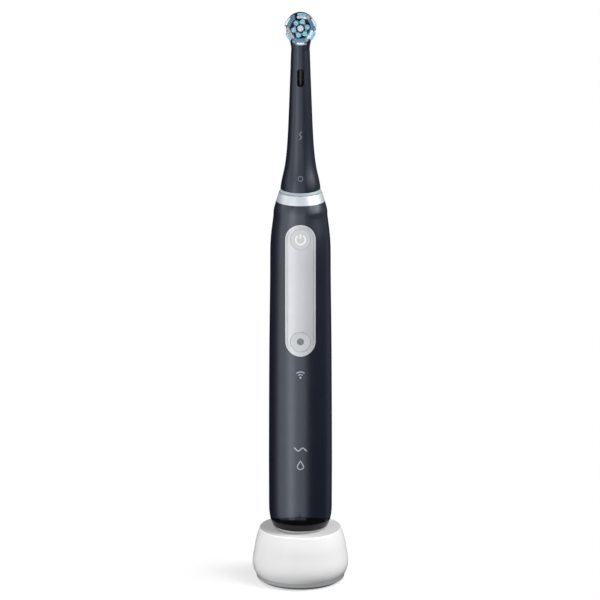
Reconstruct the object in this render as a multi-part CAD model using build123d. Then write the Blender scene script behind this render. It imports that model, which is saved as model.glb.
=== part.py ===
from build123d import *
import math
import os

# An electric toothbrush standing on its charger, in millimetres, +Z up, front towards -Y.
# The origin is on the floor, on the axis that charger, handle and brush share.

# ---- driving dimensions -------------------------------------------------------------
CHARGER_TOP = 24.4
CHARGER_RADIUS = 22.05
CHARGER_WALL = 1.8
FOOT_SEAM = 3.3
FLOOR_TOP = 2.6
BOARD_BOTTOM = 5.2
BOARD_THICKNESS = 1.2
CAPACITOR_CIRCLE = 13.2
BOBBIN_BOTTOM = 7.0
BOBBIN_TOP = 21.4
BOBBIN_FLANGE = 1.0
BOBBIN_RADIUS = 8.6
TOP_RADIUS = 18.4
TOP_THICKNESS = 0.8
TOP_HUB = 14.0
PAD_HEIGHT = 1.25
PAD_RADIUS = 11.0
POST_RADIUS = 3.8
POST_HEIGHT = 10.5
GLAND_HEIGHT = 9.5
CORD_RADIUS = 1.75
GLAND_REACH = 21.9
GLAND_SLEEVE = 2.6

HANDLE_BOTTOM = 25.7
BOTTOM_RADIUS = 12.8
WALL = 1.6
SEAM_GAP = 0.15
CAP_SEAM = 29.4
CAP_SEAM_CURVE = 31.0
SPIGOT_RADIUS = 12.3
SLEEVE_TOP = 176.7
RING_TOP = 180.7
RING_TILT = 4.0
NECK_EDGE = 182.5
NECK_TILT = 7.0

PANEL_WIDTH = 13.6
PANEL_LENGTH = 59.5
PANEL_CENTRE = 137.9
POWER_HEIGHT = 161.2
MODE_HEIGHT = 114.8
BUTTON_RADIUS = 4.5
BUTTON_CURVE = 26.0
BUTTON_GAP = 0.1
BEZEL_WIDTH = 0.65
PANEL_DEPTH = 0.9
GASKET_THICKNESS = 0.3

SHAFT_RADIUS = 1.6
RUNNING = 0.05
CHASSIS_GAP = 0.3
CHASSIS_WALL = 1.1
BATTERY_RADIUS = 7.1
BATTERY_OFFSET = 3.4
BATTERY_LOW = 45.2
BATTERY_HIGH = 97.0
TAB_THICKNESS = 0.4
PCB_FACE = -9.2
PCB_THICKNESS = 1.0
MOTOR_RADIUS = 7.2
MOTOR_LOW = 111.3
MOTOR_HIGH = 167.6
MOTOR_WALL = 1.3
SPRING_RADIUS = 3.2
SPRING_WIRE = 0.35
LED_BOARD_LOW = 170.2
LED_BOARD_HIGH = 171.0
SEAL_TOP = 200.4

SLOT_WIDTH = 3.0
SLOT_LENGTH = 8.1
SLOT_CENTRE = 232.2

HEAD_CENTRE = 254.5
CUP_RADIUS = 6.45
CARRIER_RADIUS = 6.3
CRANK = 3.0
PIN_RADIUS = 0.8
PIN_DEPTH = 3.4
TIP_REACH = 12.5
CARRIER_FACE = 4.7

# Outside of the handle above its rounded foot, as (radius, height).
HANDLE_SKIN = [
    (13.0, 26.5),
    (13.45, 27.6),
    (13.87, 29.2),
    (14.26, 31.4),
    (14.45, 36.0),
    (14.47, 50.0),
    (14.36, 79.0),
    (14.0, 121.5),
    (13.65, 149.0),
    (13.06, 162.9),
    (12.1, 171.0),
    (10.92, 176.6),
    (9.65, 180.7),
    (9.1, 182.4),
]
# Outside of the brush neck up to its narrowest place under the head.
NECK_SKIN = [
    (9.02, 181.2),
    (8.66, 184.7),
    (7.44, 190.2),
    (6.56, 195.6),
    (6.02, 201.0),
    (5.53, 209.0),
    (4.97, 222.5),
    (4.6, 232.0),
    (4.17, 244.0),
]


# ---- helpers ------------------------------------------------------------------------
def turned(outline):
    """A solid turned about Z from a closed outline of (radius, height)."""
    return revolve(Plane.XZ * make_face(outline), Axis.Z)


def lathe(*points):
    """A solid turned about Z from the corners of its section."""
    return turned(Polyline(*points, close=True))


def tube(outer, inner, low, high):
    """A straight tube about Z."""
    return lathe((inner, low), (outer, low), (outer, high), (inner, high))


def rod(radius, low, high):
    """A straight rod on the Z axis."""
    return Pos(0, 0, low) * Cylinder(radius, high - low, align=(Align.CENTER, Align.CENTER, Align.MIN))


def block(x, y, z):
    """A box from its (low, high) pairs."""
    size = [high - low for low, high in (x, y, z)]
    middle = [(high + low) / 2 for low, high in (x, y, z)]
    return Pos(*middle) * Box(*size)


def facing_front(height):
    """A frame at a height on the axis whose own Z points to the front."""
    return Pos(0, 0, height) * Rot(90, 0, 0)


def above(height, tilt):
    """Everything over a plane that crosses the axis at a height and dips to the front."""
    half_space = Box(90, 90, 300, align=(Align.CENTER, Align.CENTER, Align.MIN))
    return Pos(0, 0, height) * Rot(tilt, 0, 0) * half_space


def handle_skin(offset=0.0):
    """The handle's outside as a filled solid, grown or shrunk by an offset."""
    points = [(radius + offset, height) for radius, height in HANDLE_SKIN]
    edge = BOTTOM_RADIUS + offset
    outline = Polyline((0, HANDLE_BOTTOM), (edge - 0.3, HANDLE_BOTTOM), (edge, HANDLE_BOTTOM + 0.3), points[0])
    outline += Spline(*points, tangents=[(0.36, 1), (-0.33, 1)])
    outline += Polyline(points[-1], (0, points[-1][1]), (0, HANDLE_BOTTOM))
    return turned(outline)


def neck_skin(offset=0.0):
    """The brush neck's outside as a filled solid, grown or shrunk by an offset."""
    points = [(radius + offset, height) for radius, height in NECK_SKIN]
    outline = Polyline((0, points[-1][1]), (0, points[0][1]), points[0])
    outline += Spline(*points)
    outline += Line(points[-1], (0, points[-1][1]))
    return turned(outline)


def front_stadium(width, length, height, near, far):
    """An upright stadium-shaped bar that runs along Y from near to far in front of the axis."""
    face = Rot(0, 0, 90) * SlotOverall(length, width)
    return facing_front(height) * Pos(0, 0, near) * extrude(face, far - near)


def panel_bar(inset):
    """The control panel's outline as a bar through the front wall, drawn in on every side by an inset."""
    return front_stadium(PANEL_WIDTH - 2 * inset, PANEL_LENGTH - 2 * inset, PANEL_CENTRE, 5, 20)


def sleeve_region(gap=0.0):
    """Everything above the scalloped seam between the base cap and the sleeve."""
    roll = Rot(0, 90, 0) * Cylinder(CAP_SEAM_CURVE, 60)
    low = CAP_SEAM + gap
    return Pos(0, 0, low + CAP_SEAM_CURVE) * roll + block((-30, 30), (-30, 30), (low + CAP_SEAM_CURVE, 260))


def group(*solids):
    """Separate solids that share one node."""
    flat = [solid for item in solids for solid in item.solids()]
    return Compound(children=flat)


# ---- charger ------------------------------------------------------------------------
def charger_profile(offset):
    """The charger's side and top as an outline, moved inwards by an offset."""
    low = (20.7 - offset, FOOT_SEAM)
    belly = (CHARGER_RADIUS - offset, 7.0)
    rim = (18.9 - offset, CHARGER_TOP - 0.6 - offset)
    top = (18.3 - offset, CHARGER_TOP - offset)
    side = Spline(low, belly, (21.3 - offset, 14.0), rim, tangents=[(0.7, 1), (-0.33, 1)])
    return side + RadiusArc(rim, top, -0.6) + Polyline(top, (0, top[1]), (0, FOOT_SEAM), low)


def charger_housing():
    shell = turned(charger_profile(0)) - turned(charger_profile(CHARGER_WALL))
    shell = shell - rod(TOP_RADIUS, CHARGER_TOP - TOP_THICKNESS, 40) - rod(TOP_HUB, 15, 40)
    recess = facing_front(GLAND_HEIGHT) * Pos(0, 0, -31) * Cylinder(3.6, 20)
    passage = facing_front(GLAND_HEIGHT) * Pos(0, 0, -25) * Cylinder(GLAND_SLEEVE, 20)
    return shell - recess - passage


def charger_top():
    """The top plate with the raised pad and the hollow post that goes up into the handle's well."""
    top = CHARGER_TOP + PAD_HEIGHT
    tip = top + POST_HEIGHT
    ledge = CHARGER_TOP - TOP_THICKNESS
    bottom = CHARGER_TOP - CHARGER_WALL
    outside = Polyline((0, bottom), (TOP_HUB, bottom), (TOP_HUB, ledge), (TOP_RADIUS, ledge))
    outside += Line((TOP_RADIUS, ledge), (TOP_RADIUS, CHARGER_TOP))
    outside += Polyline((TOP_RADIUS, CHARGER_TOP), (PAD_RADIUS, CHARGER_TOP), (PAD_RADIUS, top - 0.3))
    outside += Polyline((PAD_RADIUS, top - 0.3), (PAD_RADIUS - 0.3, top), (POST_RADIUS + 0.2, top))
    outside += Line((POST_RADIUS + 0.2, top), (POST_RADIUS - 0.1, tip - 0.9))
    outside += RadiusArc((POST_RADIUS - 0.1, tip - 0.9), (POST_RADIUS - 1.0, tip), -0.9)
    outside += Polyline((POST_RADIUS - 1.0, tip), (0, tip), (0, bottom))
    return turned(outside) - rod(2.7, bottom, tip - 1.2)


def coil_bobbin():
    bore = 2.7
    core = tube(3.6, bore, BOBBIN_BOTTOM, BOBBIN_TOP)
    lower_flange = tube(BOBBIN_RADIUS, bore, BOBBIN_BOTTOM, BOBBIN_BOTTOM + BOBBIN_FLANGE)
    upper_flange = tube(BOBBIN_RADIUS, bore, BOBBIN_TOP - BOBBIN_FLANGE, BOBBIN_TOP)
    return core + lower_flange + upper_flange


def primary_coil():
    return tube(BOBBIN_RADIUS - 0.7, 3.7, BOBBIN_BOTTOM + BOBBIN_FLANGE + 0.1, BOBBIN_TOP - BOBBIN_FLANGE - 0.1)


def ferrite_core():
    return rod(2.6, 6.6, CHARGER_TOP + PAD_HEIGHT + POST_HEIGHT - 1.4)


def charger_circuit_board():
    return tube(17.2, 9.4, BOARD_BOTTOM, BOARD_BOTTOM + BOARD_THICKNESS)


def charger_components():
    """Two capacitors and four chips that stand on the ring-shaped board."""
    face = BOARD_BOTTOM + BOARD_THICKNESS
    capacitor = Pos(CAPACITOR_CIRCLE, 0, 0) * rod(2.5, face, 15.5)
    chip = block((11.2, 15.2), (-2.2, 2.2), (face, face + 1.8))
    capacitors = [Rot(0, 0, turn) * capacitor for turn in (20, 52)]
    chips = [Rot(0, 0, turn) * chip for turn in (120, 160, 200, 320)]
    return group(*capacitors, *chips)


def base_plate():
    lip_top = 5.0
    plate = Polyline((18.9, 0.6), (20.2, 1.3), (20.7, FOOT_SEAM), (18.7, FOOT_SEAM), (18.7, lip_top))
    plate += Polyline((18.7, lip_top), (17.6, lip_top), (17.6, FLOOR_TOP), (0, FLOOR_TOP), (0, 1.0))
    plate += Polyline((0, 1.0), (15.2, 1.0), (15.2, 2.0), (18.9, 2.0), (18.9, 0.6))
    return turned(plate)


def foot_ring():
    return lathe((15.4, 0.3), (15.9, 0), (18.3, 0), (18.8, 0.3), (18.8, 1.95), (15.4, 1.95))


def cord_gland():
    collar = Pos(0, 0, -GLAND_REACH) * rod(3.5, 0, 0.9)
    sleeve = Pos(0, 0, -GLAND_REACH) * rod(GLAND_SLEEVE, 0.8, 7.2)
    bore = Pos(0, 0, -GLAND_REACH) * rod(CORD_RADIUS, -1, 8)
    return facing_front(GLAND_HEIGHT) * (collar + sleeve - bore)


# ---- handle -------------------------------------------------------------------------
def handle_sleeve():
    shell = handle_skin() & sleeve_region(SEAM_GAP)
    shell = shell - handle_skin(-WALL) - above(SLEEVE_TOP, RING_TILT)
    seat_depth = PANEL_DEPTH + GASKET_THICKNESS + 0.05
    panel_seat = (handle_skin(1) - handle_skin(-seat_depth)) & panel_bar(-0.05)
    return shell - panel_seat - panel_bar(0.9)


def base_cap():
    """The gloss cap: a cup with the spigot that plugs into the sleeve and the well for the charger's post."""
    cap = handle_skin() - sleeve_region()
    hollow = handle_skin(-WALL) & block((-20, 20), (-20, 20), (27.3, 60))
    spigot = tube(SPIGOT_RADIUS, 11.1, 28.6, 38.0) - tube(12.8, 11.8, 34.0, 35.4)
    well = rod(5.2, 26.5, 38.6)
    shell = cap - hollow + spigot + well
    return shell - rod(POST_RADIUS + 0.5, 20, 37.4) - rod(POST_RADIUS + 0.9, 20, 26.2)


def base_seal():
    return Pos(0, 0, 34.7) * Torus(SPIGOT_RADIUS, 0.44)


def receiver_coil():
    return tube(8.6, 5.3, 29.2, 37.6)


def chassis():
    """A trough along the back wall, with a floor, a shelf over the battery and a cradle under the motor."""
    outside = handle_skin(-WALL - CHASSIS_GAP)
    inside = handle_skin(-WALL - CHASSIS_GAP - CHASSIS_WALL)
    trough = (outside - inside) & block((-20, 20), (1.5, 20), (40, 166))
    levels = ((40, 42.4), (100, 102), (109, MOTOR_LOW - 0.1))
    floor, shelf, cradle = [outside & block((-20, 20), (-7.6, 20), level) for level in levels]
    return trough + floor + shelf + (cradle - rod(2.4, 100, 120))


def battery():
    body = rod(BATTERY_RADIUS, BATTERY_LOW, BATTERY_HIGH)
    positive = rod(2.6, BATTERY_HIGH, BATTERY_HIGH + 1.2)
    return Pos(0, BATTERY_OFFSET, 0) * (body + positive)


def battery_tabs():
    """A bent strip at each end of the battery that reaches the back of the board."""
    width, reach, leg = (-2, 2), (-8.0, 4.4), (-8.15, -7.6)
    top = BATTERY_HIGH + 1.3
    bottom = BATTERY_LOW - 0.2
    upper = block(width, reach, (top, top + TAB_THICKNESS))
    upper += block(width, leg, (top - 5.3, top + TAB_THICKNESS))
    lower = block(width, reach, (bottom - TAB_THICKNESS, bottom))
    lower += block(width, leg, (bottom - TAB_THICKNESS, bottom + 6.0))
    return group(upper, lower)


def circuit_board():
    outline = Polyline((-6.2, 43), (6.2, 43), (6.2, 150), (4.4, 168), (-4.4, 168), (-6.2, 150), close=True)
    return Pos(0, PCB_FACE + PCB_THICKNESS, 0) * extrude(Plane.XZ * make_face(outline), PCB_THICKNESS)


def board_chips():
    places = {
        (0, 62): (5.0, 5.0),
        (-2.6, 74): (3.0, 4.0),
        (2.4, 84): (3.6, 3.0),
        (0, 128): (6.0, 6.0),
        (2.8, 141): (2.4, 4.4),
    }
    middle = PCB_FACE - 0.5
    return group(*[Pos(x, middle, z) * Box(wide, 1.0, high) for (x, z), (wide, high) in places.items()])


def tact_switches():
    body = Box(6, 1.0, 6)
    dome = Pos(0, -0.7, 0) * Rot(90, 0, 0) * Cylinder(1.6, 0.4)
    return group(*[Pos(0, PCB_FACE - 0.5, z) * (body + dome) for z in (POWER_HEIGHT, MODE_HEIGHT)])


def led_board():
    return tube(9.4, 4.6, LED_BOARD_LOW, LED_BOARD_HIGH)


def ring_leds():
    led = block((8.0, 9.2), (-0.9, 0.9), (LED_BOARD_HIGH, LED_BOARD_HIGH + 1.0))
    return group(*[Rot(0, 0, turn) * led for turn in range(30, 390, 60)])


def light_ring():
    """A band under the nose's edge, with a skirt that carries the light up from the LEDs."""
    bore = 8.15
    low = SLEEVE_TOP + 0.05
    upper_skin = HANDLE_SKIN[-6:]
    blank = Polyline((bore, upper_skin[-1][1]), (bore, upper_skin[0][1]), upper_skin[0])
    blank += Spline(*upper_skin)
    blank += Line(upper_skin[-1], (bore, upper_skin[-1][1]))
    slab = Pos(0, 0, low) * Rot(RING_TILT, 0, 0) * rod(40, 0, RING_TOP - low)
    return (turned(blank) & slab) + tube(8.95, bore, 172.6, 178.0)


def nose_cap():
    cone = Polyline((1.65, 172.6), (8.05, 172.6), (8.05, 179.7), (6.3, 180.1), (6.1, 182.0), (3.9, 199.2))
    cone += RadiusArc((3.9, 199.2), (3.1, 200.0), -0.8)
    cone += Polyline((3.1, 200.0), (1.65, 200.0), (1.65, 172.6))
    hollow = lathe((2.6, 174.2), (6.6, 174.2), (6.6, 178.6), (2.6, 178.6))
    return turned(cone) - hollow - tube(2.7, 1.0, 197.6, 201) - tube(2.3, 1.0, 172, 180.6)


def shaft_seal():
    bore = SHAFT_RADIUS + RUNNING
    return lathe((bore, 197.7), (2.65, 197.7), (2.65, 199.6), (1.9, SEAL_TOP), (bore, SEAL_TOP))


def shaft_bush():
    return tube(2.25, SHAFT_RADIUS + RUNNING, 172.8, 180.4)


def motor_frame():
    can = tube(MOTOR_RADIUS, 6.5, MOTOR_LOW, MOTOR_HIGH)
    lower_end = tube(MOTOR_RADIUS, 2.1, MOTOR_LOW, MOTOR_LOW + MOTOR_WALL)
    upper_end = tube(MOTOR_RADIUS, 2.1, MOTOR_HIGH - MOTOR_WALL + 0.1, MOTOR_HIGH)
    return can + lower_end + upper_end


def stator_coil():
    return tube(6.45, 4.8, 130.0, 148.0)


def motor_spring(low, high, turns):
    """A coil spring with its ends cut flat by its own wire."""
    pitch = (high - low - 2 * SPRING_WIRE) / turns
    path = Pos(0, 0, low + SPRING_WIRE) * Helix(pitch, pitch * turns, SPRING_RADIUS)
    start = path.position_at(0)
    section = Plane(origin=start, z_dir=path.tangent_at(0)) * Circle(SPRING_WIRE)
    return sweep(section, path=path, is_frenet=True)


def control_panel():
    plate = (handle_skin(0.05) - handle_skin(-PANEL_DEPTH)) & panel_bar(BEZEL_WIDTH)
    for height in (POWER_HEIGHT, MODE_HEIGHT):
        plate -= facing_front(height) * Cylinder(BUTTON_RADIUS + BUTTON_GAP, 60)
    return plate


def panel_bezel():
    return (handle_skin(0.3) - handle_skin(-PANEL_DEPTH)) & (panel_bar(0) - panel_bar(BEZEL_WIDTH))


def panel_gasket():
    outside = handle_skin(-PANEL_DEPTH - 0.02)
    inside = handle_skin(-PANEL_DEPTH - 0.02 - GASKET_THICKNESS)
    return (outside - inside) & (panel_bar(0.1) - panel_bar(0.9))


def button(height, back, front, lean):
    """A push button: a cap flatter than the handle, so that a fingertip finds it, and a plunger behind it."""
    face = Pos(0, BUTTON_CURVE - front, height) * Rot(lean, 0, 0) * Cylinder(BUTTON_CURVE, 30)
    cap = face & (facing_front(height) * rod(BUTTON_RADIUS, back, back + 10))
    plunger = facing_front(height) * rod(1.5, 11.2, back + 0.1)
    return cap + plunger


# ---- drive shaft --------------------------------------------------------------------
def drive_shaft():
    flat = block((0.95, 3), (-3, 3), (203.5, 213))
    return rod(SHAFT_RADIUS, 109.5, 212) - flat


def armature():
    return tube(4.3, SHAFT_RADIUS, 126.0, 152.0)


# ---- brush neck ---------------------------------------------------------------------
def neck_base_ring():
    blank = lathe((6.9, 179.5), (9.5, 179.5), (9.42, 180.6), (8.75, 183.2), (6.9, 183.2))
    return (blank & above(RING_TOP + 0.22, RING_TILT)) - above(NECK_EDGE - 0.05, NECK_TILT)


def head_cup():
    back = Polyline((0, 2.6), (0, -4.0), (3.6, -4.0))
    back += RadiusArc((3.6, -4.0), (CUP_RADIUS, -0.9), -3.1)
    back += Polyline((CUP_RADIUS, -0.9), (CUP_RADIUS, 2.2), (CUP_RADIUS - 0.4, 2.6), (0, 2.6))
    return facing_front(HEAD_CENTRE) * turned(back)


def neck_shoulder():
    """The flare from the round neck into the back of the head."""
    sections = ((243.9, 4.1, 4.1), (246.6, 4.32, 4.02), (249.4, 5.05, 3.7), (251.6, 5.75, 3.45))
    return loft([Pos(0, 0, z) * Ellipse(wide, deep) for z, wide, deep in sections])


def neck_shell():
    outside = (neck_skin() & above(NECK_EDGE, NECK_TILT)) + neck_shoulder() + head_cup()
    bore = neck_skin(-1.2) & block((-20, 20), (-20, 20), (170, 238.0))
    passage = rod(2.5, 236, HEAD_CENTRE - 3)
    cup = facing_front(HEAD_CENTRE) * rod(5.3, -2.3, 8)
    window = front_stadium(SLOT_WIDTH, SLOT_LENGTH, SLOT_CENTRE, 1.5, 12)
    carrier_seat = facing_front(HEAD_CENTRE) * rod(CARRIER_RADIUS + 0.4, 2.6, 12)
    pin_hole = facing_front(HEAD_CENTRE) * rod(PIN_RADIUS, -PIN_DEPTH, 0)
    return outside - bore - passage - cup - window - carrier_seat - pin_hole


def neck_insert():
    blank = neck_skin(-1.22) & block((-20, 20), (-20, 20), (183.8, 203.0))
    socket = lathe((0, 170), (7.8, 170), (6.45, 180.1), (6.25, 182.0), (4.05, 199.4), (4.05, 201.2), (0, 201.2))
    return blank - socket - rod(2.9, 199, 205)


def head_pin():
    return facing_front(HEAD_CENTRE) * rod(PIN_RADIUS, -PIN_DEPTH, 2.1)


# ---- drive rod ----------------------------------------------------------------------
def rod_coupler():
    outside = Polyline((0, 204.2), (2.5, 204.2), (2.5, 214.0), (1.5, 215.2), (1.5, 230.6), (0, 230.6),
                       close=True)
    socket = rod(SHAFT_RADIUS + RUNNING, 204, 213.2)
    return turned(outside) - socket - rod(0.9, 222, 231)


def drive_rod():
    lower = rod(1.25, 230.6, 245.6) + rod(0.9, 222.5, 231)
    arm = Polyline((-1.2, -10.6), (1.2, -10.6), (1.2, -5.2), (3.7, -2.0), (3.7, 0.8), (2.3, 0.8), (2.3, -1.5),
                   (-1.2, -5.6), close=True)
    bar = Pos(0, 0.7, HEAD_CENTRE) * extrude(Plane.XZ * make_face(arm), 1.4)
    pin = Pos(CRANK, 0, 0) * facing_front(HEAD_CENTRE) * rod(0.5, 0.5, 2.2)
    return lower + bar + pin


# ---- turning head -------------------------------------------------------------------
def tuft_carrier():
    back = 2.9
    edge = 0.4
    disc = Polyline((0, back), (CARRIER_RADIUS - edge, back), (CARRIER_RADIUS, back + edge))
    disc += Polyline((CARRIER_RADIUS, back + edge), (CARRIER_RADIUS, CARRIER_FACE - edge))
    disc += Line((CARRIER_RADIUS, CARRIER_FACE - edge), (CARRIER_RADIUS - edge, CARRIER_FACE))
    disc += Polyline((CARRIER_RADIUS - edge, CARRIER_FACE), (0, CARRIER_FACE), (0, back))
    solid = turned(disc) + rod(4.3, 1.0, back) + rod(1.6, -1.8, back)
    pin_slot = block((CRANK - 0.85, CRANK + 0.85), (-0.57, 0.57), (0, 2.5))
    return facing_front(HEAD_CENTRE) * (solid - pin_slot - rod(PIN_RADIUS + RUNNING, -2, 2.4))


def tuft(angle, inner, outer, spread, root, tip, flare):
    """One tuft: a ring sector that leans outwards from the carrier's face to its tips."""
    def sector(low, high, half):
        arc_in = [(low * math.cos(a), low * math.sin(a)) for a in (-half, half)]
        arc_out = [(high * math.cos(a), high * math.sin(a)) for a in (half, -half)]
        outline = ThreePointArc(arc_in[0], (low, 0), arc_in[1]) + Line(arc_in[1], arc_out[0])
        outline += ThreePointArc(arc_out[0], (high, 0), arc_out[1]) + Line(arc_out[1], arc_in[0])
        return make_face(outline)

    half = math.radians(spread / 2)
    at_root = Pos(0, 0, root) * sector(inner, outer, half)
    at_tip = Pos(0, 0, tip) * sector(inner + flare, outer + flare, half)
    return facing_front(HEAD_CENTRE) * Rot(0, 0, angle) * loft([at_root, at_tip])


def outer_tufts():
    reaches = [TIP_REACH, TIP_REACH - 0.6] * 3
    return group(*[tuft(85 - 60 * i, 4.4, 6.15, 40, CARRIER_FACE, reach, 1.0)
                   for i, reach in enumerate(reaches)])


def inner_tufts():
    reach = TIP_REACH - 1.6
    return group(*[tuft(68 - 60 * i, 2.0, 3.7, 44, CARRIER_FACE, reach, 0.15) for i in range(6)])


def centre_tuft():
    return facing_front(HEAD_CENTRE) * rod(1.35, CARRIER_FACE, TIP_REACH - 1.9)


# ---- write one file for each piece ----------------------------------------------------
PARTS = {
    "charger_housing": charger_housing,
    "charger_top": charger_top,
    "coil_bobbin": coil_bobbin,
    "primary_coil": primary_coil,
    "ferrite_core": ferrite_core,
    "charger_circuit_board": charger_circuit_board,
    "charger_components": charger_components,
    "base_plate": base_plate,
    "foot_ring": foot_ring,
    "cord_gland": cord_gland,
    "handle_sleeve": handle_sleeve,
    "base_cap": base_cap,
    "base_seal": base_seal,
    "receiver_coil": receiver_coil,
    "chassis": chassis,
    "battery": battery,
    "battery_tabs": battery_tabs,
    "circuit_board": circuit_board,
    "board_chips": board_chips,
    "tact_switches": tact_switches,
    "led_board": led_board,
    "ring_leds": ring_leds,
    "light_ring": light_ring,
    "nose_cap": nose_cap,
    "shaft_seal": shaft_seal,
    "shaft_bush": shaft_bush,
    "motor_frame": motor_frame,
    "stator_coil": stator_coil,
    "lower_spring": lambda: motor_spring(112.8, 125.9, 5),
    "upper_spring": lambda: motor_spring(152.1, 166.2, 5),
    "control_panel": control_panel,
    "panel_bezel": panel_bezel,
    "panel_gasket": panel_gasket,
    "power_button": lambda: button(POWER_HEIGHT, 11.7, 12.98, -4.4),
    "mode_button": lambda: button(MODE_HEIGHT, 12.6, 13.86, -0.5),
    "drive_shaft": drive_shaft,
    "armature": armature,
    "neck_base_ring": neck_base_ring,
    "neck_shell": neck_shell,
    "neck_insert": neck_insert,
    "head_pin": head_pin,
    "rod_coupler": rod_coupler,
    "drive_rod": drive_rod,
    "tuft_carrier": tuft_carrier,
    "outer_tufts": outer_tufts,
    "inner_tufts": inner_tufts,
    "centre_tuft": centre_tuft,
}

os.makedirs("parts", exist_ok=True)
for name, make in PARTS.items():
    export_step(make(), f"parts/{name}.step")
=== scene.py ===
import math
import random

import bpy
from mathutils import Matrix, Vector
from mathutils.bvhtree import BVHTree


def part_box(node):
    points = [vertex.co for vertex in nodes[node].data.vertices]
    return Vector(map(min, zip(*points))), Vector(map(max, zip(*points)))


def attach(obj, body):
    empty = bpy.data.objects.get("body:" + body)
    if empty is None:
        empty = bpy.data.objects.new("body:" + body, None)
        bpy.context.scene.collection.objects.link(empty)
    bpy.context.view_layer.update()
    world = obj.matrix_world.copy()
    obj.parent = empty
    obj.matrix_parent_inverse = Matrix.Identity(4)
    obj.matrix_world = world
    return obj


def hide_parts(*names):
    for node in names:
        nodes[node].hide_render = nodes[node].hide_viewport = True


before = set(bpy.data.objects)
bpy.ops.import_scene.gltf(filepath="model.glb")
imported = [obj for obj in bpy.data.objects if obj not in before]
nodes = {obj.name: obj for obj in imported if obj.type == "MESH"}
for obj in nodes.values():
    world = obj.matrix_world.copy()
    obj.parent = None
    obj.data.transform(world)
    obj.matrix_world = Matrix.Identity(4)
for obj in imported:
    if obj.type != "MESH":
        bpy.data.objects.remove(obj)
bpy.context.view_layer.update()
MM = 0.001


# ---- camera, floor and light ----------------------------------------------------------
CAMERA_SIDE = -0.0002
CAMERA_DISTANCE = 1.130
CAMERA_HEIGHT = 0.3742
CAMERA_PITCH = 12.146
LENS = 153.5
SENSOR_WIDTH = 36.0
LIGHT_CENTRE = Vector((0.0, 0.0, 0.11))
LIGHT_DISTANCE = 0.9
FILL_STRENGTH = 0.015
FLOOR_RADIUS = 0.5
FLOOR_CORNERS = 96
# The floor takes shadow inside the first radius and glows fully outside the second.
SHADOW_RADIUS = 0.018
GLOW_RADIUS = 0.06
LEAST_GLOW = 0.45


def middle_height(name):
    """Height of the middle of a CAD node's box."""
    node_low, node_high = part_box(name)
    return (node_low.z + node_high.z) / 2


def add_camera():
    """A long lens in front of the object and a little above it."""
    data = bpy.data.cameras.new("camera")
    data.lens = LENS
    data.sensor_width = SENSOR_WIDTH
    data.clip_start = 0.05
    data.clip_end = 50.0
    camera = bpy.data.objects.new("camera", data)
    camera.location = (CAMERA_SIDE, -CAMERA_DISTANCE, CAMERA_HEIGHT)
    camera.rotation_euler = (math.radians(90.0 - CAMERA_PITCH), 0.0, 0.0)
    bpy.context.scene.collection.objects.link(camera)
    bpy.context.scene.camera = camera


def add_panel(name, azimuth, elevation, size, watts):
    """A soft light panel round the object that faces it. Azimuth 0 is the front, negative is left."""
    data = bpy.data.lights.new(name, "AREA")
    data.shape = "RECTANGLE"
    data.size, data.size_y = size
    data.energy = watts
    light = bpy.data.objects.new(name, data)
    a, e = math.radians(azimuth), math.radians(elevation)
    out = Vector((math.sin(a) * math.cos(e), -math.cos(a) * math.cos(e), math.sin(e)))
    light.location = LIGHT_CENTRE + out * LIGHT_DISTANCE
    light.rotation_euler = (-out).to_track_quat("-Z", "Y").to_euler()
    light.visible_camera = False
    bpy.context.scene.collection.objects.link(light)


def add_lights():
    """Tall panels from the left round to the front and one behind, then higher ones on both sides."""
    tall = (0.34, 1.0)
    middle = (0.4, 0.4)
    wide = (0.5, 0.5)
    add_panel("key_far_left", -78, -4, tall, 1.5)
    add_panel("key_left", -56, -4, tall, 1.4)
    add_panel("key", -34, -4, tall, 3.65)
    add_panel("key_front", -12, -4, tall, 1.45)
    add_panel("key_right", 10, -4, tall, 1.6)
    add_panel("strip_back_right", 125, -4, tall, 0.27)
    add_panel("side_left", -95, 28, middle, 0.55)
    add_panel("side_right", 55, 28, middle, 1.3)
    add_panel("side_far_right", 85, 28, middle, 3.1)
    add_panel("high_left", -105, 52, wide, 4.7)
    add_panel("high_right", 75, 52, wide, 7.9)


def set_world():
    """A white surround behind the object and a dim one for what its surfaces reflect."""
    world = bpy.data.worlds.new("studio")
    world.use_nodes = True
    bpy.context.scene.world = world
    tree = world.node_tree
    tree.nodes.clear()
    seen = tree.nodes.new("ShaderNodeBackground")
    seen.inputs["Color"].default_value = (1.0, 1.0, 1.0, 1.0)
    fill = tree.nodes.new("ShaderNodeBackground")
    fill.inputs["Color"].default_value = (0.9, 0.94, 1.0, 1.0)
    fill.inputs["Strength"].default_value = FILL_STRENGTH
    path = tree.nodes.new("ShaderNodeLightPath")
    mix = tree.nodes.new("ShaderNodeMixShader")
    out = tree.nodes.new("ShaderNodeOutputWorld")
    tree.links.new(path.outputs["Is Camera Ray"], mix.inputs[0])
    tree.links.new(fill.outputs[0], mix.inputs[1])
    tree.links.new(seen.outputs[0], mix.inputs[2])
    tree.links.new(mix.outputs[0], out.inputs["Surface"])


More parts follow.
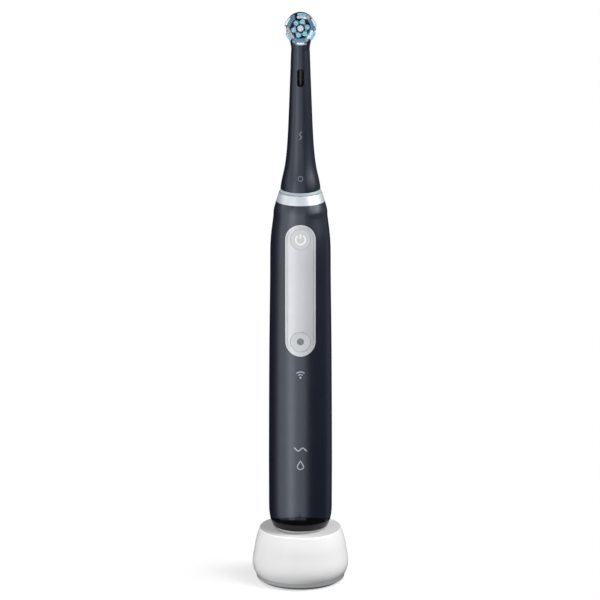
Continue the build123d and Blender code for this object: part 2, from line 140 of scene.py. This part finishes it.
def add_floor():
    """A round white table that fades into the surround."""
    turns = [math.tau * i / FLOOR_CORNERS for i in range(FLOOR_CORNERS)]
    edge = [(FLOOR_RADIUS * math.cos(a), FLOOR_RADIUS * math.sin(a), 0.0) for a in turns]
    mesh = bpy.data.meshes.new("floor")
    mesh.from_pydata(edge, [], [list(range(FLOOR_CORNERS))])
    floor = bpy.data.objects.new("floor", mesh)
    bpy.context.scene.collection.objects.link(floor)
    material = bpy.data.materials.new("floor_white")
    material.use_nodes = True
    tree = material.node_tree
    tree.nodes.clear()
    out = tree.nodes.new("ShaderNodeOutputMaterial")
    diffuse = tree.nodes.new("ShaderNodeBsdfDiffuse")
    diffuse.inputs["Color"].default_value = (0.93, 0.93, 0.93, 1.0)
    glow = tree.nodes.new("ShaderNodeEmission")
    glow.inputs["Color"].default_value = (1.0, 1.0, 1.0, 1.0)
    mix = tree.nodes.new("ShaderNodeMixShader")
    coords = tree.nodes.new("ShaderNodeTexCoord")
    length = tree.nodes.new("ShaderNodeVectorMath")
    length.operation = "LENGTH"
    fade = tree.nodes.new("ShaderNodeMapRange")
    fade.interpolation_type = "SMOOTHSTEP"
    fade.inputs["From Min"].default_value = SHADOW_RADIUS
    fade.inputs["From Max"].default_value = GLOW_RADIUS
    fade.inputs["To Min"].default_value = LEAST_GLOW
    tree.links.new(coords.outputs["Object"], length.inputs[0])
    tree.links.new(length.outputs["Value"], fade.inputs["Value"])
    tree.links.new(fade.outputs["Result"], mix.inputs[0])
    tree.links.new(diffuse.outputs[0], mix.inputs[1])
    tree.links.new(glow.outputs[0], mix.inputs[2])
    tree.links.new(mix.outputs[0], out.inputs["Surface"])
    mesh.materials.append(material)
    floor.visible_glossy = False
    floor.visible_diffuse = False


# ---- material builder -----------------------------------------------------------------
class Surface:
    """One Principled material and the nodes that feed it.

    The colour and roughness it starts with are plain values that patterns then take the place of.
    Texture scales are per metre, and relief is in metres.
    """

    def __init__(self, name, colour, roughness, **sockets):
        self.material = bpy.data.materials.new(name)
        self.material.use_nodes = True
        self.tree = self.material.node_tree
        self.shader = self.tree.nodes["Principled BSDF"]
        self.shader.inputs["Base Color"].default_value = (*colour, 1.0)
        self.shader.inputs["Roughness"].default_value = roughness
        for socket, value in sockets.items():
            self.shader.inputs[socket.replace("_", " ")].default_value = value
        self.where = self.tree.nodes.new("ShaderNodeTexCoord").outputs["Object"]
        self.height = None

    def node(self, kind, **inputs):
        """A shader node with some of its inputs set."""
        made = self.tree.nodes.new("ShaderNode" + kind)
        for socket, value in inputs.items():
            made.inputs[socket.replace("_", " ")].default_value = value
        return made

    def stretched(self, x, y, z):
        """The object's own place, stretched by a factor along each axis."""
        scale = self.node("VectorMath")
        scale.operation = "MULTIPLY"
        scale.inputs[1].default_value = (x, y, z)
        self.tree.links.new(self.where, scale.inputs[0])
        return scale.outputs[0]

    def noise(self, scale, detail=3.0, roughness=0.5, where=None):
        made = self.node("TexNoise", Scale=scale, Detail=detail, Roughness=roughness)
        self.tree.links.new(where or self.where, made.inputs["Vector"])
        return made.outputs["Fac"]

    def cells(self, scale):
        made = self.node("TexVoronoi", Scale=scale)
        self.tree.links.new(self.where, made.inputs["Vector"])
        return made.outputs["Distance"]

    def waves(self, scale, distortion, rings=False):
        """Bands along Z, or rings round it."""
        made = self.node("TexWave", Scale=scale, Distortion=distortion)
        made.wave_type = "RINGS" if rings else "BANDS"
        made.rings_direction = "Z"
        made.bands_direction = "Z"
        self.tree.links.new(self.where, made.inputs["Vector"])
        return made.outputs["Fac"]

    def between(self, value, low, high, start=0.0, end=1.0):
        """Maps a 0 to 1 pattern, or its part from start to end, onto low to high."""
        made = self.node("MapRange")
        made.inputs["From Min"].default_value = start
        made.inputs["From Max"].default_value = end
        made.inputs["To Min"].default_value = low
        made.inputs["To Max"].default_value = high
        self.tree.links.new(value, made.inputs["Value"])
        return made.outputs["Result"]

    def mixed(self, factor, first, second):
        """A colour between two, each a socket or three numbers."""
        made = self.tree.nodes.new("ShaderNodeMix")
        made.data_type = "RGBA"
        for socket, value in ((made.inputs[6], first), (made.inputs[7], second)):
            if isinstance(value, tuple):
                socket.default_value = (*value, 1.0)
            else:
                self.tree.links.new(value, socket)
        self.tree.links.new(factor, made.inputs[0])
        return made.outputs[2]

    def colour_from(self, socket):
        self.tree.links.new(socket, self.shader.inputs["Base Color"])
        return self

    def roughness_from(self, socket):
        self.tree.links.new(socket, self.shader.inputs["Roughness"])
        return self

    def bump(self, socket, depth, strength=1.0):
        """Adds relief of a depth on top of what is there already."""
        made = self.node("Bump", Strength=strength, Distance=depth)
        self.tree.links.new(socket, made.inputs["Height"])
        if self.height:
            self.tree.links.new(self.height, made.inputs["Normal"])
        self.height = made.outputs["Normal"]
        self.tree.links.new(self.height, self.shader.inputs["Normal"])
        return self


# ---- materials ------------------------------------------------------------------------
def matte_black(name, reflectance):
    """Soft-touch moulding: a fine spark-eroded grain, with faint handling marks."""
    s = Surface(name, (0.005, 0.006, 0.009), 0.38)
    s.shader.inputs["Specular IOR Level"].default_value = reflectance
    s.shader.inputs["Specular Tint"].default_value = (0.80, 0.87, 1.0, 1.0)
    grain = s.noise(1500, 4.0, 0.7)
    marks = s.noise(70, 3.0, 0.6)
    s.colour_from(s.mixed(grain, (0.003, 0.0045, 0.011), (0.006, 0.008, 0.018)))
    s.roughness_from(s.between(marks, 0.34, 0.41))
    return s.bump(grain, 0.00005, 0.5).material


def gloss_black(name="gloss_black"):
    """Polished moulding with a slight orange peel and hairline scuffs."""
    s = Surface(name, (0.004, 0.004, 0.005), 0.12)
    s.shader.inputs["Specular IOR Level"].default_value = 0.28
    scuffs = s.noise(420, 5.0, 0.7, s.stretched(1, 1, 0.2))
    s.roughness_from(s.between(scuffs, 0.10, 0.18, 0.35, 0.8))
    return s.bump(s.noise(160, 2.0), 0.00002, 0.3).material


def ring_white():
    """Milky light guide with a pearly sheen and faint clouding."""
    s = Surface("light_guide", (0.68, 0.725, 0.76), 0.42, Metallic=0.55, Subsurface_Weight=0.15)
    s.shader.inputs["Specular IOR Level"].default_value = 0.2
    s.shader.inputs["Subsurface Scale"].default_value = 0.0008
    cloud = s.noise(300, 3.0)
    s.colour_from(s.mixed(cloud, (0.62, 0.665, 0.70), (0.68, 0.725, 0.76)))
    return s.bump(s.noise(900, 2.0), 0.00001, 0.4).material


def ring_grey():
    """Satin grey moulding of the neck's base ring."""
    s = Surface("satin_grey", (0.36, 0.42, 0.47), 0.3)
    grain = s.noise(1800, 3.0)
    s.colour_from(s.mixed(grain, (0.32, 0.38, 0.43), (0.40, 0.46, 0.51)))
    return s.bump(grain, 0.00001, 0.5).material


def pearl(name, base, roughness):
    """Pearl lacquer: fine bright flakes in a grey ground under a thin clear coat."""
    s = Surface(name, base, roughness, Metallic=0.35, Coat_Weight=0.15, Coat_Roughness=0.25)
    flakes = s.between(s.cells(5200), 0.0, 0.4, 0.1, 0.7)
    cloud = s.noise(240, 3.0)
    bright = tuple(min(1.0, 1.12 * c) for c in base)
    darker = tuple(0.96 * c for c in base)
    tone = s.mixed(flakes, bright, base)
    s.colour_from(s.mixed(s.between(cloud, 0.0, 0.4), tone, darker))
    s.roughness_from(s.between(cloud, roughness - 0.04, roughness + 0.05))
    return s.bump(s.noise(1500, 2.0), 0.000008, 0.4).material


def white_gloss():
    """The charger's polished white shell, with a slight orange peel and a little dust."""
    s = Surface("gloss_white", (0.81, 0.81, 0.815), 0.34)
    s.shader.inputs["Specular IOR Level"].default_value = 0.35
    dust = s.between(s.noise(1400, 5.0, 0.7), 0.0, 1.0, 0.62, 0.8)
    s.colour_from(s.mixed(dust, (0.81, 0.81, 0.815), (0.77, 0.77, 0.775)))
    s.roughness_from(s.between(s.noise(90, 3.0), 0.30, 0.38))
    return s.bump(s.noise(220, 2.0), 0.000015, 0.3).material


def top_grey_painted_shade():
    """Satin plate that the handle stands on, rubbed a little smoother round the pad. Its light grey is
    partly the plate's own and partly painted shade, darker than the white shell as if the top lay in
    shade.
    """
    s = Surface("satin_grey_painted_shade", (0.69, 0.69, 0.695), 0.42)
    grain = s.noise(2400, 4.0, 0.6)
    rubbed = s.waves(260, 2.5, rings=True)
    # Painted shade in part: a grey darker than the white shell.
    s.colour_from(s.mixed(grain, (0.66, 0.66, 0.665), (0.72, 0.72, 0.725)))
    s.roughness_from(s.between(rubbed, 0.36, 0.46))
    return s.bump(grain, 0.00002, 0.5).material


def base_grey_painted_bounce():
    """Grey base with a fine turned finish, made lighter than its own grey as painted light bounced up from
    the table.
    """
    # Painted light: the grey is raised to stand in for light from the table below.
    s = Surface("base_grey_painted_bounce", (0.58, 0.59, 0.61), 0.28, Metallic=0.2)
    turned = s.noise(1600, 3.0, 0.6, s.stretched(0.15, 0.15, 3.0))
    s.colour_from(s.mixed(turned, (0.54, 0.55, 0.57), (0.62, 0.63, 0.65)))
    s.roughness_from(s.between(turned, 0.24, 0.38))
    return s.bump(turned, 0.00002, 0.4).material


def rubber():
    """Soft rubber with a dusty bloom."""
    colour = (0.05, 0.05, 0.052)
    s = Surface("rubber", colour, 0.7, Sheen_Weight=0.15)
    bloom = s.noise(500, 5.0, 0.65)
    paler = tuple(1.7 * c + 0.01 for c in colour)
    s.colour_from(s.mixed(bloom, colour, paler))
    s.roughness_from(s.between(bloom, 0.6, 0.82))
    return s.bump(s.noise(3200, 3.0), 0.00003, 0.5).material


def moulding(name, colour, roughness=0.45):
    """Natural moulded plastic with faint flow marks."""
    s = Surface(name, colour, roughness)
    flow = s.noise(260, 4.0, 0.6, s.stretched(1.0, 1.0, 0.25))
    darker = tuple(0.86 * c for c in colour)
    s.colour_from(s.mixed(flow, darker, colour))
    s.roughness_from(s.between(flow, roughness - 0.06, roughness + 0.08))
    return s.bump(s.noise(2200, 3.0), 0.00002, 0.4).material


def copper():
    """Enamelled wire wound in even turns."""
    s = Surface("copper_winding", (0.62, 0.26, 0.12), 0.28, Metallic=1.0)
    turns = s.waves(900, 0.3)
    # Painted shade: the colour darkens in the grooves between turns, where the relief dips.
    s.colour_from(s.mixed(turns, (0.30, 0.10, 0.04), (0.72, 0.34, 0.16)))
    return s.bump(turns, 0.00012, 0.9).material


def steel(name="bright_steel", colour=(0.62, 0.63, 0.65), roughness=0.25):
    """Ground steel with fine lines along its length."""
    s = Surface(name, colour, roughness, Metallic=1.0)
    lines = s.noise(2600, 3.0, 0.6, s.stretched(1.0, 1.0, 0.08))
    darker = tuple(0.7 * c for c in colour)
    s.colour_from(s.mixed(lines, darker, colour))
    s.roughness_from(s.between(lines, roughness - 0.07, roughness + 0.12))
    return s.bump(lines, 0.00001, 0.4).material


def ferrite():
    """Dark sintered core with tiny pits."""
    s = Surface("sintered_core", (0.035, 0.035, 0.04), 0.6, Metallic=0.2)
    pits = s.cells(2600)
    # Painted shade: darker in the pits that the relief sinks.
    s.colour_from(s.mixed(pits, (0.02, 0.02, 0.022), (0.06, 0.06, 0.065)))
    return s.bump(pits, 0.00005, 0.5).material


def bronze():
    """Oil-soaked sintered bronze."""
    s = Surface("sintered_bronze", (0.55, 0.36, 0.16), 0.38, Metallic=1.0)
    pores = s.cells(3400)
    # Painted shade: darker in the pores that the relief sinks.
    s.colour_from(s.mixed(pores, (0.30, 0.18, 0.08), (0.62, 0.42, 0.2)))
    return s.bump(pores, 0.00003, 0.5).material


def circuit():
    """Solder resist over straight tracks."""
    s = Surface("circuit_green", (0.02, 0.14, 0.06), 0.32)
    tracks = s.node("TexBrick", Scale=900.0)
    tracks.inputs["Mortar Size"].default_value = 0.03
    tracks.inputs["Color1"].default_value = (0.015, 0.12, 0.05, 1.0)
    tracks.inputs["Color2"].default_value = (0.02, 0.15, 0.065, 1.0)
    tracks.inputs["Mortar"].default_value = (0.06, 0.28, 0.12, 1.0)
    s.tree.links.new(s.where, tracks.inputs["Vector"])
    s.colour_from(tracks.outputs["Color"])
    return s.bump(tracks.outputs["Fac"], 0.00003, 0.5).material


def component():
    """Moulded component bodies."""
    s = Surface("component_black", (0.02, 0.02, 0.022), 0.5)
    grain = s.noise(3600, 4.0)
    s.colour_from(s.mixed(grain, (0.012, 0.012, 0.013), (0.035, 0.035, 0.038)))
    return s.bump(grain, 0.00002, 0.5).material


def led():
    """Clear yellow-white LED lens."""
    s = Surface("led_lens", (0.95, 0.9, 0.7), 0.12, Transmission_Weight=0.3)
    s.colour_from(s.mixed(s.noise(800), (0.95, 0.88, 0.62), (0.98, 0.95, 0.82)))
    return s.bump(s.noise(900), 0.00001, 0.3).material


def battery_wrap():
    """Blue shrink wrap with a slight pucker."""
    s = Surface("battery_wrap", (0.03, 0.10, 0.32), 0.25)
    pucker = s.noise(180, 4.0, 0.6, s.stretched(1.0, 1.0, 3.0))
    s.colour_from(s.mixed(pucker, (0.02, 0.07, 0.25), (0.05, 0.14, 0.40)))
    return s.bump(pucker, 0.00008, 0.5).material


def ink(name, colour, metallic):
    """Printed ink with slightly uneven cover."""
    s = Surface(name, colour, 0.36, Metallic=metallic)
    cover = s.noise(2600, 4.0, 0.6)
    darker = tuple(0.82 * c for c in colour)
    s.colour_from(s.mixed(cover, darker, colour))
    return s.bump(cover, 0.000006, 0.4).material


def nylon(name, root, tip):
    """Nylon filaments, deeper in colour at the root and clearer and brighter at the tip: the darker root
    is painted shade, and the brighter tip and the emission are a painted glow.
    """
    s = Surface(name, tip, 0.45, Subsurface_Weight=0.15, Subsurface_Scale=0.0005)
    s.shader.inputs["Specular IOR Level"].default_value = 0.25
    along = s.tree.nodes.new("ShaderNodeAttribute")
    along.attribute_name = "along"
    streaks = s.noise(5200, 2.0)
    # Painted shade and glow: darker towards the root, brighter towards the tip.
    ground = s.mixed(s.between(along.outputs["Fac"], 0.0, 1.0, 0.3, 1.0), root, tip)
    shade = s.mixed(s.between(streaks, 0.0, 0.35, 0.3, 0.8), ground, tuple(0.88 * c for c in tip))
    s.colour_from(shade)
    # Painted glow: the filaments give off their own colour as emission.
    s.tree.links.new(shade, s.shader.inputs["Emission Color"])
    s.shader.inputs["Emission Strength"].default_value = 0.18
    return s.bump(streaks, 0.000004, 0.3).material


def clothe_cad_nodes():
    """Gives each kept CAD node its material."""
    chosen = {
        matte_black("sleeve_matte_black", 0.98): ["handle_sleeve"],
        matte_black("neck_matte_black", 0.65): ["neck_shell"],
        gloss_black(): ["base_cap", "nose_cap"],
        gloss_black("carrier_black"): ["tuft_carrier"],
        ring_white(): ["light_ring"],
        ring_grey(): ["neck_base_ring"],
        pearl("pearl_panel", (0.54, 0.555, 0.58), 0.46): ["control_panel"],
        pearl("pearl_bezel", (0.58, 0.595, 0.62), 0.42): ["panel_bezel"],
        pearl("pearl_button", (0.55, 0.565, 0.585), 0.50): ["power_button", "mode_button"],
        white_gloss(): ["charger_housing"],
        top_grey_painted_shade(): ["charger_top"],
        base_grey_painted_bounce(): ["base_plate"],
        rubber(): ["foot_ring", "cord_gland", "panel_gasket", "base_seal", "shaft_seal"],
        moulding("natural_plastic", (0.62, 0.61, 0.57)): ["chassis", "coil_bobbin", "neck_insert"],
        moulding("rod_plastic", (0.05, 0.052, 0.06), 0.35): ["drive_rod"],
        copper(): ["primary_coil", "receiver_coil", "stator_coil"],
        steel(): ["drive_shaft", "head_pin", "lower_spring", "upper_spring", "battery_tabs"],
        steel("motor_can", (0.45, 0.46, 0.48), 0.35): ["motor_frame"],
        # Painted shade: the coupler's steel is darkened for the shade of the neck's slot it sits in.
        steel("dark_steel_painted_shade", (0.09, 0.09, 0.10), 0.45): ["rod_coupler"],
        ferrite(): ["ferrite_core", "armature"],
        bronze(): ["shaft_bush"],
        circuit(): ["charger_circuit_board", "circuit_board", "led_board"],
        component(): ["charger_components", "board_chips", "tact_switches"],
        led(): ["ring_leds"],
        battery_wrap(): ["battery"],
    }
    for material, names in chosen.items():
        for name in names:
            mesh = nodes[name].data
            mesh.materials.clear()
            mesh.materials.append(material)


# ---- bristles -------------------------------------------------------------------------
HEAD_CENTRE = middle_height("tuft_carrier")
CARRIER_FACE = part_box("tuft_carrier")[0].y
TIP_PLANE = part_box("outer_tufts")[0].y
FILAMENT_RADIUS = 0.1 * MM
FILAMENT_STEP = 0.208 * MM
FILAMENT_SIDES = 6
# A filament narrows from its shoulder to its cap, both this many radii short of its tip.
SHOULDER_BACK = 0.8
CAP_BACK = 0.25
CAP_WIDTH = 0.68
# Rows of a hexagonal packing are this part of a step apart.
HEX_ROW = 0.866
ROOT_SINK = 0.3 * MM
TIP_LEAN = Vector((0.0, 0.0, 0.2 * MM))
SEED = 11


def head_point(clock, radius, y):
    """A point of the brush head: clock degrees from the top, clockwise as seen from the front."""
    a = math.radians(clock)
    return Vector((radius * math.sin(a), y, HEAD_CENTRE + radius * math.cos(a)))


def filament_mesh(name, strands):
    """One mesh of bent round filaments from (root, tip, bow), each with a rounded end."""
    points, faces, along = [], [], []
    turn = [math.tau * k / FILAMENT_SIDES for k in range(FILAMENT_SIDES)]
    n = FILAMENT_SIDES
    for root, tip, bow in strands:
        length = (tip - root).length
        axis = (tip - root) / length
        side = axis.cross(Vector((0.0, 0.0, 1.0))).normalized()
        other = axis.cross(side)
        shoulder = 1.0 - SHOULDER_BACK * FILAMENT_RADIUS / length
        cap = 1.0 - CAP_BACK * FILAMENT_RADIUS / length
        levels = ((0.0, 1.0), (0.3, 1.0), (0.6, 1.0), (shoulder, 1.0), (cap, CAP_WIDTH))
        first = len(points)
        for level, width in levels:
            middle = root.lerp(tip, level) + bow * math.sin(math.pi * level / 2) ** 2
            ring = FILAMENT_RADIUS * width
            for a in turn:
                points.append(middle + side * (ring * math.cos(a)) + other * (ring * math.sin(a)))
            along += [level] * n
        points.append(tip + bow)
        along.append(1.0)
        for step in range(len(levels) - 1):
            low = first + step * n
            faces += [(low + k, low + (k + 1) % n, low + n + (k + 1) % n, low + n + k) for k in range(n)]
        last = first + (len(levels) - 1) * n
        faces += [(last + k, last + (k + 1) % n, len(points) - 1) for k in range(n)]
        faces.append(tuple(first + k for k in reversed(range(n))))
    mesh = bpy.data.meshes.new(name)
    mesh.from_pydata([tuple(p) for p in points], [], faces)
    mesh.attributes.new("along", "FLOAT", "POINT").data.foreach_set("value", along)
    mesh.shade_smooth()
    return mesh


def hex_grid(half_width, half_height, step):
    """Places of a hexagonal packing that fills a rectangle."""
    rows = int(half_height / (step * HEX_ROW)) + 1
    columns = int(half_width / step) + 1
    for row in range(-rows, rows + 1):
        for column in range(-columns, columns + 1):
            yield (column + 0.5 * (row % 2)) * step, row * step * HEX_ROW


def arc_tuft(draw, clock, spread, roots, tips, inner_tip, outer_tip):
    """Strands of a curved tuft.

    roots and tips are its inner and outer radius at each end, and the last two are where the tips
    of its inner and outer strands are along Y.
    """
    middle = (roots[0] + roots[1]) / 2
    depth = (roots[1] - roots[0]) / 2
    width = middle * math.radians(spread) / 2
    strands = []
    for across, out in hex_grid(width, depth, FILAMENT_STEP):
        if abs(across / width) ** 4 + abs(out / depth) ** 4 > 1.0:
            continue
        share = (out + depth) / (2 * depth)
        angle = clock + math.degrees(across / middle)
        wander = Vector((draw.gauss(0, 0.03), draw.gauss(0, 0.04), draw.gauss(0, 0.03))) * MM
        root = head_point(angle, middle + out, CARRIER_FACE + ROOT_SINK)
        reach = inner_tip + (outer_tip - inner_tip) * share
        tip = head_point(angle, tips[0] + (tips[1] - tips[0]) * share, reach) + wander + TIP_LEAN
        bow = Vector((draw.gauss(0, 0.02), 0.0, draw.gauss(0, 0.02))) * MM
        strands.append((root, tip, bow))
    return strands


def round_tuft(draw, clock, distance, radius, reach):
    """Strands of a round tuft whose middle is at a distance from the head's centre."""
    strands = []
    a = math.radians(clock)
    cosine, sine = math.cos(a), math.sin(a)
    for across, out in hex_grid(radius, radius, FILAMENT_STEP):
        off = math.hypot(across, out)
        if off > radius:
            continue
        offset = Vector((across * cosine + out * sine, 0.0, -across * sine + out * cosine))
        root = head_point(clock, distance, CARRIER_FACE + ROOT_SINK) + offset
        wander = Vector((draw.gauss(0, 0.02), draw.gauss(0, 0.04), draw.gauss(0, 0.02))) * MM
        dome = 0.25 * MM * (off / radius) ** 2
        tip = head_point(clock, distance, reach + dome) + offset + wander + TIP_LEAN
        bow = Vector((draw.gauss(0, 0.015), 0.0, draw.gauss(0, 0.015))) * MM
        strands.append((root, tip, bow))
    return strands


def add_piece(name, mesh, material, body):
    """Links a mesh as a piece that rides on a body."""
    mesh.materials.append(material)
    piece = bpy.data.objects.new(name, mesh)
    bpy.context.scene.collection.objects.link(piece)
    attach(piece, body)
    return piece


def outer_strands(draw):
    """Strands of the outer ring, by colour.

    Light blue tufts have a white or grey flank on their inner side. Deep blue ones have a white and
    a grey rim outside them. Short grey ones stand between.
    """
    front = TIP_PLANE + 0.15 * MM
    strands = {"light": [], "pale": [], "deep": [], "white": [], "grey": []}

    def tuft(colour, clock, spread, roots, tips, inner_depth, outer_depth):
        """Radii and depths behind the front plane are in millimetres."""
        roots = [r * MM for r in roots]
        tips = [r * MM for r in tips]
        reach = (front + inner_depth * MM, front + outer_depth * MM)
        strands[colour] += arc_tuft(draw, clock, spread, roots, tips, *reach)

    for clock, flank in ((5, "pale"), (120, "pale"), (239, "grey")):
        tuft("light", clock, 36, (5.05, 6.1), (5.85, 7.15), 0.3, 0.0)
        tuft(flank, clock + 1, 48, (4.15, 4.98), (4.6, 5.85), 0.9, 0.3)
    for clock in (64, 180, 300):
        tuft("white", clock, 30, (5.4, 6.1), (6.1, 7.0), 0.5, 0.2)
        tuft("deep", clock + 5, 56, (4.3, 5.3), (4.6, 5.95), 1.8, 0.7)
        tuft("deep", clock + 26, 16, (5.3, 6.1), (5.9, 6.85), 0.9, 0.5)
        tuft("grey", clock - 2, 42, (5.95, 6.2), (7.05, 7.35), 1.2, 1.0)
    for clock in (34, 153, 270):
        tuft("grey", clock, 18, (4.6, 5.9), (5.0, 6.3), 2.2, 1.4)
    return strands


def add_bristles():
    """Six outer tufts of two kinds, three short grey ones beside them, a ring of six and a centre tuft."""
    draw = random.Random(SEED)
    outer = outer_strands(draw)
    lobes, web = [], []
    for clock in (17, 79, 139, 198, 258, 321):
        lobes += round_tuft(draw, clock, 3.05 * MM, 1.08 * MM, TIP_PLANE + 1.7 * MM)
        web += round_tuft(draw, clock + 30, 2.6 * MM, 0.5 * MM, TIP_PLANE + 2.2 * MM)
    centre = round_tuft(draw, 0, 0.0, 1.3 * MM, TIP_PLANE + 1.9 * MM)

    light = nylon("nylon_light_blue", (0.17, 0.37, 0.48), (0.37, 0.66, 0.78))
    blue = nylon("nylon_blue", (0.08, 0.18, 0.27), (0.20, 0.37, 0.51))
    white = nylon("nylon_white", (0.50, 0.62, 0.70), (0.80, 0.89, 0.94))
    cream = nylon("nylon_centre", (0.50, 0.52, 0.56), (0.72, 0.74, 0.79))
    clear = nylon("nylon_grey", (0.34, 0.35, 0.37), (0.55, 0.55, 0.57))

    def tufts(name, strands, material):
        return add_piece(name, filament_mesh(name, strands), material, "bristle_head")

    first = tufts("outer_filaments_light", outer["light"], light)
    tufts("outer_filaments_pale", outer["pale"], white)
    tufts("outer_filaments_deep", outer["deep"], blue)
    tufts("outer_filaments_white", outer["white"], white)
    tufts("outer_filaments_grey", outer["grey"], clear)
    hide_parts("outer_tufts")
    ring = tufts("inner_filaments", lobes, light)
    tufts("inner_filaments_web", web, blue)
    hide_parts("inner_tufts")
    middle = tufts("centre_filaments", centre, cream)
    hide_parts("centre_tuft")


# ---- printed marks --------------------------------------------------------------------
INK_LIFT = 0.025 * MM
INK_SINK = 0.02 * MM
# An open stroke's end is rounded down to this part of its width.
BLUNT_END = 0.12
# Well in front of the object, where the search for the surface under a print starts.
SEARCH_START = -0.08
# Handle signs above the sleeve's lowest edge, and neck signs below the middle of the head.
WIRELESS_RISE = 69.95 * MM
WAVE_RISE = 35.45 * MM
DROP_RISE = 28.15 * MM
NECK_WAVE_DROP = 47.8 * MM
NECK_RING_DROP = 66.8 * MM


def surface_under(name):
    """A search tree of a CAD node's mesh, for laying prints on it."""
    mesh = nodes[name].data
    corners = [v.co.copy() for v in mesh.vertices]
    return BVHTree.FromPolygons(corners, [tuple(p.vertices) for p in mesh.polygons])


def stroke_mesh(name, tree, strokes, width):
    """Flat ink strokes on a front surface. Each stroke is (points in x and z, closed)."""
    points, faces = [], []
    for path, closed in strokes:
        count = len(path)
        travelled = [0.0]
        for a, b in zip(path, path[1:]):
            travelled.append(travelled[-1] + math.dist(a, b))
        first = len(points)
        for i, (x, z) in enumerate(path):
            before = path[i - 1] if closed or i else path[0]
            after = path[(i + 1) % count] if closed or i < count - 1 else path[-1]
            dx, dz = after[0] - before[0], after[1] - before[1]
            length = math.hypot(dx, dz)
            half = width / 2
            if not closed:
                to_end = min(travelled[i], travelled[-1] - travelled[i])
                gap = max(0.0, half - to_end)
                half = max(BLUNT_END * half, math.sqrt(max(0.0, half * half - gap * gap)))
            sx, sz = -dz / length * half, dx / length * half
            for px, pz in ((x - sx, z - sz), (x + sx, z + sz)):
                start = Vector((px, SEARCH_START, pz))
                hit, normal, _, _ = tree.ray_cast(start, Vector((0.0, 1.0, 0.0)))
                points += [hit + normal * INK_LIFT, hit - normal * INK_SINK]
        steps = count if closed else count - 1
        for i in range(steps):
            a, b = first + 4 * i, first + 4 * ((i + 1) % count)
            faces.append((a, b, b + 2, a + 2))
            faces.append((a + 1, a + 3, b + 3, b + 1))
            faces.append((a, a + 1, b + 1, b))
            faces.append((a + 2, b + 2, b + 3, a + 3))
        if not closed:
            last = first + 4 * (count - 1)
            faces.append((first, first + 2, first + 3, first + 1))
            faces.append((last, last + 1, last + 3, last + 2))
    mesh = bpy.data.meshes.new(name)
    mesh.from_pydata([tuple(p) for p in points], [], faces)
    return mesh


def arc(height, radius, start, end, steps=40):
    """Points of an arc round a height on the middle line, in clock degrees from the top."""
    turns = [math.radians(start + (end - start) * i / steps) for i in range(steps + 1)]
    return [(radius * math.sin(a), height + radius * math.cos(a)) for a in turns]


def circle(height, radius, steps=40):
    return arc(height, radius, 0, 360, steps)[:-1], True


def disc(height, radius):
    """A filled disc: one closed stroke half as large, to be drawn as wide as the disc's radius."""
    return circle(height, radius / 2, 48)


def wave(height, half_length, rise, upright, waves=1.5, steps=40):
    """An open wavy line, lying or upright."""
    line = []
    for i in range(steps + 1):
        along = -half_length + 2 * half_length * i / steps
        off = rise * math.sin(math.pi * waves * along / half_length)
        line.append((-off, height + along) if upright else (along, height + off))
    return line, False


def drop(height, radius, steps=40):
    """A water drop with its point at the top."""
    line = []
    for i in range(steps):
        a = math.tau * i / steps
        taper = math.sin(a / 2) ** 1.6
        line.append((radius * math.sin(a) * -taper * 1.15, height + radius * math.cos(a) * 1.15))
    return line, True


def mark(name, surface, strokes, width, material, body):
    """Prints strokes of a width on a surface, as a piece that rides on a body."""
    add_piece(name, stroke_mesh(name, surface, strokes, width), material, body)


def button_signs():
    """A power sign, and a dot on the mode button."""
    white = ink("white_ink", (0.93, 0.94, 0.95), 0.0)
    dark = ink("indicator_grey", (0.20, 0.22, 0.24), 0.0)
    power = surface_under("power_button")
    mode = surface_under("mode_button")
    power_height = middle_height("power_button")
    ring = (arc(power_height - 0.1 * MM, 2.1 * MM, 30, 330), False)
    stem = ([(0.0, power_height + (2.5 - 0.11 * i) * MM) for i in range(21)], False)
    dot = disc(middle_height("mode_button"), 1.6 * MM)
    mark("power_sign", power, [ring, stem], 0.72 * MM, white, "power_button")
    mark("mode_dot", mode, [dot], 1.6 * MM, dark, "mode_button")


def handle_signs():
    """A wireless sign, a wave and a water drop."""
    silver = ink("silver_ink", (0.50, 0.51, 0.53), 0.35)
    sleeve = surface_under("handle_sleeve")
    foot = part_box("handle_sleeve")[0].z
    wireless = foot + WIRELESS_RISE
    fan = [(arc(wireless - 1.2 * MM, r * MM, -42, 42, 24), False) for r in (1.5, 2.7)]
    dot = disc(wireless - 1.1 * MM, 0.45 * MM)
    line = wave(foot + WAVE_RISE, 3.0 * MM, 0.7 * MM, False)
    water = drop(foot + DROP_RISE, 1.75 * MM)
    mark("wireless_sign", sleeve, fan, 0.42 * MM, silver, "handle")
    mark("wireless_dot", sleeve, [dot], 0.45 * MM, silver, "handle")
    mark("wave_sign", sleeve, [line], 0.5 * MM, silver, "handle")
    mark("drop_sign", sleeve, [water], 0.42 * MM, silver, "handle")


def neck_signs():
    """An upright wave and a plain ring, fainter than the handle's signs."""
    dim = ink("dim_silver_ink", (0.20, 0.21, 0.23), 0.25)
    neck = surface_under("neck_shell")
    line = wave(HEAD_CENTRE - NECK_WAVE_DROP, 1.9 * MM, 0.45 * MM, True)
    ring = circle(HEAD_CENTRE - NECK_RING_DROP, 1.05 * MM)
    mark("neck_wave", neck, [line], 0.4 * MM, dim, "brush_neck")
    mark("neck_dot_ring", neck, [ring], 0.30 * MM, dim, "brush_neck")


bpy.context.scene.view_settings.view_transform = "Standard"
add_camera()
set_world()
add_lights()
add_floor()
clothe_cad_nodes()
add_bristles()
button_signs()
handle_signs()
neck_signs()
